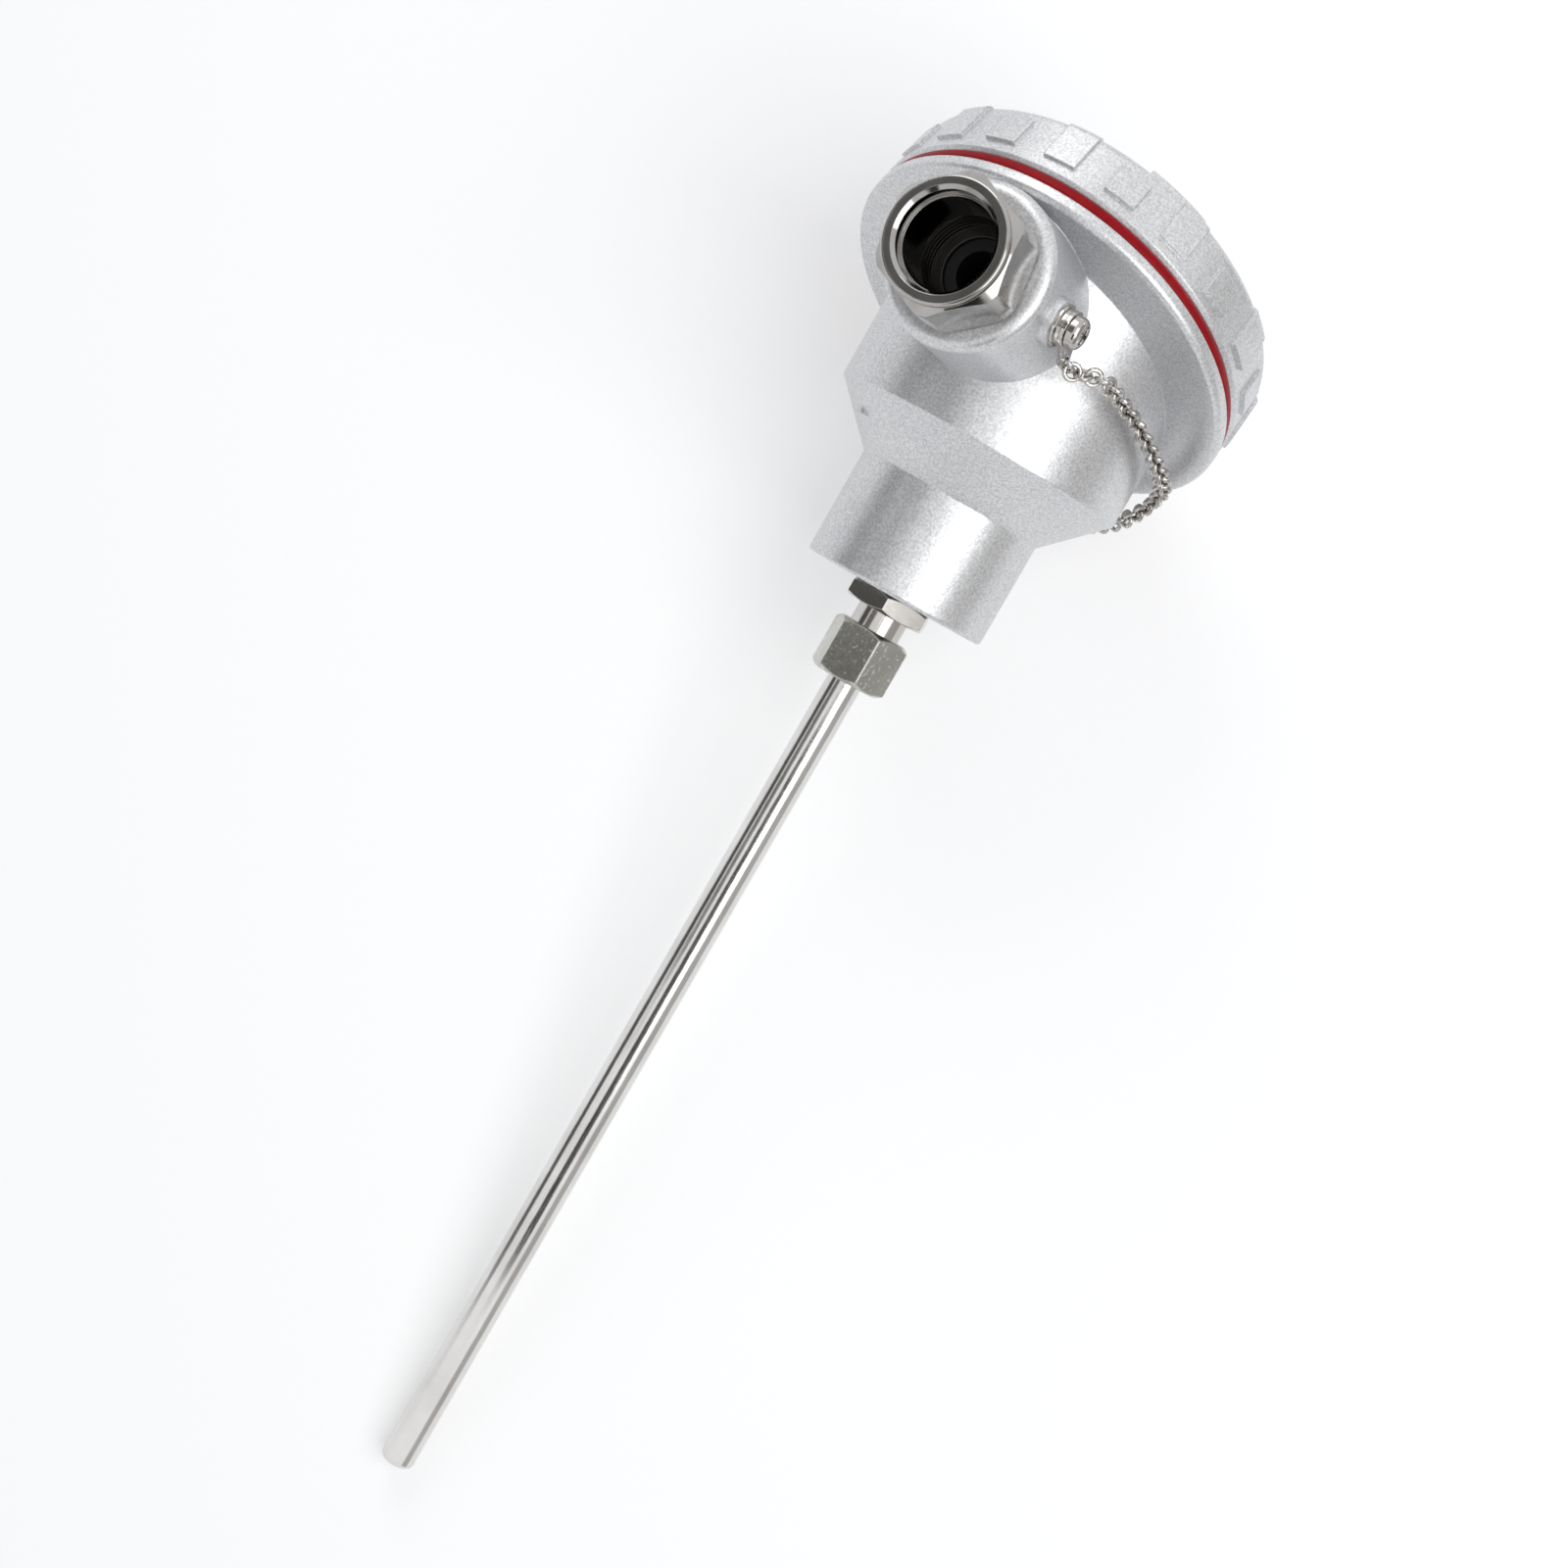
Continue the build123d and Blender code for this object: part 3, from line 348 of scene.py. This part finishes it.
node_material = {
    "stem_sheath": "stem_steel",
    "sensing_element": "ceramic",
    "insulation_powder": "powder",
    "potting_plug": "potting",
    "lead_wires_red": "wire_red",
    "lead_wire_white": "wire_white",
    "compression_nut": "nut_steel",
    "back_ferrule": "fitting_steel",
    "front_ferrule": "fitting_steel",
    "fitting_body": "fitting_steel",
    "head_body": "head_paint",
    "cap": "cast_paint",
    "lid_seal": "red_rubber",
    "gland_nut": "nickel",
    # The gland washer's near-black nickel is painted shade for the depth of the bore
    "gland_washer": "painted_shade_nickel",
    "gland_grommet": "black_rubber",
    "chain_screw": "chain_nickel",
    "chain_flat_washer": "chain_nickel",
    "chain_spring_washer": "chain_nickel",
    "chain_eyelet": "chain_nickel",
    "chain_links": "chain_nickel",
    "cap_eyelet": "chain_nickel",
    "cap_chain_screw": "chain_nickel",
    "transmitter_puck": "unit_plastic",
    "puck_screws": "screw_steel",
    "terminal_clamps": "brass",
    "terminal_screws": "screw_steel",
    "earth_clamp": "brass",
    "earth_screw": "screw_steel",
}
for name, key in node_material.items():
    piece = nodes[name]
    piece.data.materials.clear()
    piece.data.materials.append(materials[key])


# Chain: one smooth round link where each of the model's plain links lies
def same_place(vertex):
    """A vertex's place to the micrometre, as a key that its doubles share."""
    return tuple(round(c, ndigits=6) for c in vertex.co)


def loose_parts(mesh):
    """The vertices of each separate solid of a mesh, as arrays."""
    count = len(mesh.vertices)
    parent = list(range(count))

    def root(index):
        while parent[index] != index:
            parent[index] = parent[parent[index]]
            index = parent[index]
        return index

    seen = {}
    for vertex in mesh.vertices:
        key = same_place(vertex)
        if key in seen:
            parent[root(vertex.index)] = root(seen[key])
        else:
            seen[key] = vertex.index
    for edge in mesh.edges:
        first, second = (root(i) for i in edge.vertices)
        parent[first] = second
    groups = {}
    for vertex in mesh.vertices:
        groups.setdefault(root(vertex.index), set()).add(same_place(vertex))
    return [np.array(sorted(group)) for group in groups.values()]


def link_mesh(name, centre, normal):
    """A round link of wire."""
    ring_radius, wire_radius = 0.00165, 0.00051
    ring_steps, wire_steps = 20, 8
    along = normal.orthogonal().normalized()
    across = normal.cross(along)
    shape = bmesh.new()
    rows = []
    for i in range(ring_steps):
        turn = 2 * math.pi * i / ring_steps
        out = along * math.cos(turn) + across * math.sin(turn)
        row = []
        for j in range(wire_steps):
            around = 2 * math.pi * j / wire_steps
            offset = out * math.cos(around) * wire_radius + normal * math.sin(around) * wire_radius
            row.append(shape.verts.new(centre + out * ring_radius + offset))
        rows.append(row)
    for i, row in enumerate(rows):
        next_row = rows[(i + 1) % ring_steps]
        for j in range(wire_steps):
            k = (j + 1) % wire_steps
            face = shape.faces.new((row[j], next_row[j], next_row[k], row[k]))
            face.smooth = True
    bmesh.ops.recalc_face_normals(shape, faces=shape.faces)
    mesh = bpy.data.meshes.new(name)
    shape.to_mesh(mesh)
    shape.free()
    return mesh


# Each link's centre and the direction square to its ring
links = []
for points in loose_parts(nodes["chain_links"].data):
    centre = points.mean(0)
    axes = np.linalg.svd(points - centre)[2]
    links.append((Vector(centre), Vector(axes[2])))

# The links in their order from the head's eyelet
here = (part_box("chain_eyelet")[0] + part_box("chain_eyelet")[1]) / 2
order = []
left = list(range(len(links)))
while left:
    nearest = min(left, key=lambda i: (links[i][0] - here).length)
    left.remove(nearest)
    order.append(nearest)
    here = links[nearest][0]

# Each link is a piece of its own, numbered from the head's eyelet, in place of the model's chain
# mesh
for number, index in enumerate(order):
    centre, normal = links[index]
    name = f"chain_link_{number + 1:02d}"
    piece = bpy.data.objects.new(name, link_mesh(name, centre, normal))
    piece.data.materials.append(materials["chain_nickel"])
    scene.collection.objects.link(piece)
    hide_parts("chain_links")
    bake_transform(piece)


# Flat squares about the object
def flat_mesh(name, middle, across, upward, width, height, paint):
    """One face of a width and a height about its middle."""
    mesh = bpy.data.meshes.new(name)
    corners = [
        middle + across * a * width / 2 + upward * b * height / 2 for a, b in square_corners
    ]
    mesh.from_pydata(corners, [], [(0, 1, 2, 3)])
    mesh.materials.append(paint)
    made = bpy.data.objects.new(name, mesh)
    scene.collection.objects.link(made)
    return made


# Floor: the table that the object lies on, white to the camera and in reflections
made = Nodes("floor_white")
diffuse = made.add("ShaderNodeBsdfDiffuse", {"Color": (0.82, 0.82, 0.82, 1)})
glow = made.add("ShaderNodeEmission", {"Color": (1, 1, 1, 1), "Strength": 0.34})
both = made.add("ShaderNodeAddShader", {0: diffuse.outputs[0], 1: glow.outputs[0]})
plain = made.add("ShaderNodeBsdfDiffuse", {"Color": (0.8, 0.8, 0.8, 1)})
rays = made.add("ShaderNodeLightPath").outputs
seen = made.math("MAXIMUM", rays["Is Camera Ray"], rays["Is Glossy Ray"])
front = made.add("ShaderNodeMixShader", {0: seen, 1: plain.outputs[0], 2: both.outputs[0]})

# From behind, the floor is clear
clear = made.add("ShaderNodeBsdfTransparent")
behind = made.add("ShaderNodeNewGeometry").outputs["Backfacing"]
sided = made.add("ShaderNodeMixShader", {0: behind, 1: front.outputs[0], 2: clear.outputs[0]})
made.link(sided.outputs[0], made.output.inputs["Surface"])

floor_gap = 0.0004
floor_size = 3.2
floor_normal = Vector((0.346, -0.926, 0.144)).normalized()
floor_along = floor_normal.orthogonal().normalized()
lowest = min(
    float((np.array([v.co for v in piece.data.vertices]) @ np.array(floor_normal)).min())
    for piece in nodes.values()
)
flat_mesh(
    "floor", floor_normal * (lowest - floor_gap), floor_along, floor_normal.cross(floor_along),
    floor_size, floor_size, made.material,
)

# World: white to the camera and in reflections, a plain fill elsewhere
world = bpy.data.worlds.new("studio")
scene.world = world
world.use_nodes = True
world_tree = world.node_tree
world_tree.nodes.clear()
rays = add_node(world_tree, "ShaderNodeLightPath").outputs
seen = rays["Is Camera Ray"]
for kind in ("Is Glossy Ray", "Is Transmission Ray"):
    seen = add_node(
        world_tree, "ShaderNodeMath", {0: seen, 1: rays[kind]}, operation="MAXIMUM"
    ).outputs[0]
fill = add_node(
    world_tree, "ShaderNodeBackground", {"Color": (0.95, 0.97, 1.0, 1), "Strength": 0.42}
)
white = add_node(world_tree, "ShaderNodeBackground", {"Color": (1, 1, 1, 1), "Strength": 1.0})
mixed = add_node(
    world_tree, "ShaderNodeMixShader", {0: seen, 1: fill.outputs[0], 2: white.outputs[0]}
)
add_node(world_tree, "ShaderNodeOutputWorld", {"Surface": mixed.outputs[0]})

# Lamps and cards, placed from the camera's right, top and back directions
object_middle = Vector((0, 0, 0.04))


def from_camera(right, top, back):
    """A step along the camera's three directions."""
    return camera_right * right + camera_top * top + camera_back * back


def lamp(name, right, top, back, size, power):
    """A soft square lamp that faces the object's head."""
    data = bpy.data.lights.new(name, "AREA")
    data.shape = "SQUARE"
    data.size = size
    data.energy = power
    made = bpy.data.objects.new(name, data)
    scene.collection.objects.link(made)
    offset = from_camera(right, top, back)
    made.location = object_middle + offset
    made.rotation_euler = offset.to_track_quat("Z", "Y").to_euler()


def card(name, right, top, back, width, height, tone):
    """A card that only reflections see, whose flat tone no lamp changes."""
    green_share, blue_share = 0.98, 0.95
    colour = (tone, tone * green_share, tone * blue_share, 1)
    paint = Nodes(f"{name}_tone")
    glow = paint.add("ShaderNodeEmission", {"Color": colour})
    paint.link(glow.outputs[0], paint.output.inputs["Surface"])
    offset = from_camera(right, top, back)
    facing = offset.normalized()
    across = along_z.cross(facing).normalized()
    made = flat_mesh(
        name, object_middle + offset, across, facing.cross(across), width, height, paint.material
    )
    made.visible_camera = False
    made.visible_diffuse = False
    made.visible_shadow = False
    made.visible_transmission = False


lamp("key_lamp", right=0.42, top=-0.26, back=0.96, size=0.86, power=5.2)
lamp("top_lamp", right=-0.15, top=1.0, back=0.6, size=0.6, power=2.3)

card("card_near_left", right=-0.56, top=0.28, back=0.8, width=0.44, height=0.7, tone=0.2)
card("card_far_left", right=-0.9, top=0.38, back=0.34, width=0.5, height=0.9, tone=0.1)
card("card_right", right=0.84, top=-0.54, back=0.03, width=0.36, height=0.9, tone=0.13)
card("card_camera", right=0.14, top=-0.08, back=0.9, width=0.09, height=0.7, tone=0.06)
card("card_stem", right=-0.065, top=-0.191, back=0.28, width=0.16, height=0.23, tone=0.05)
card("card_behind", right=0.3, top=-0.2, back=-0.045, width=0.7, height=0.9, tone=0.5)

scene.view_settings.view_transform = "Standard"
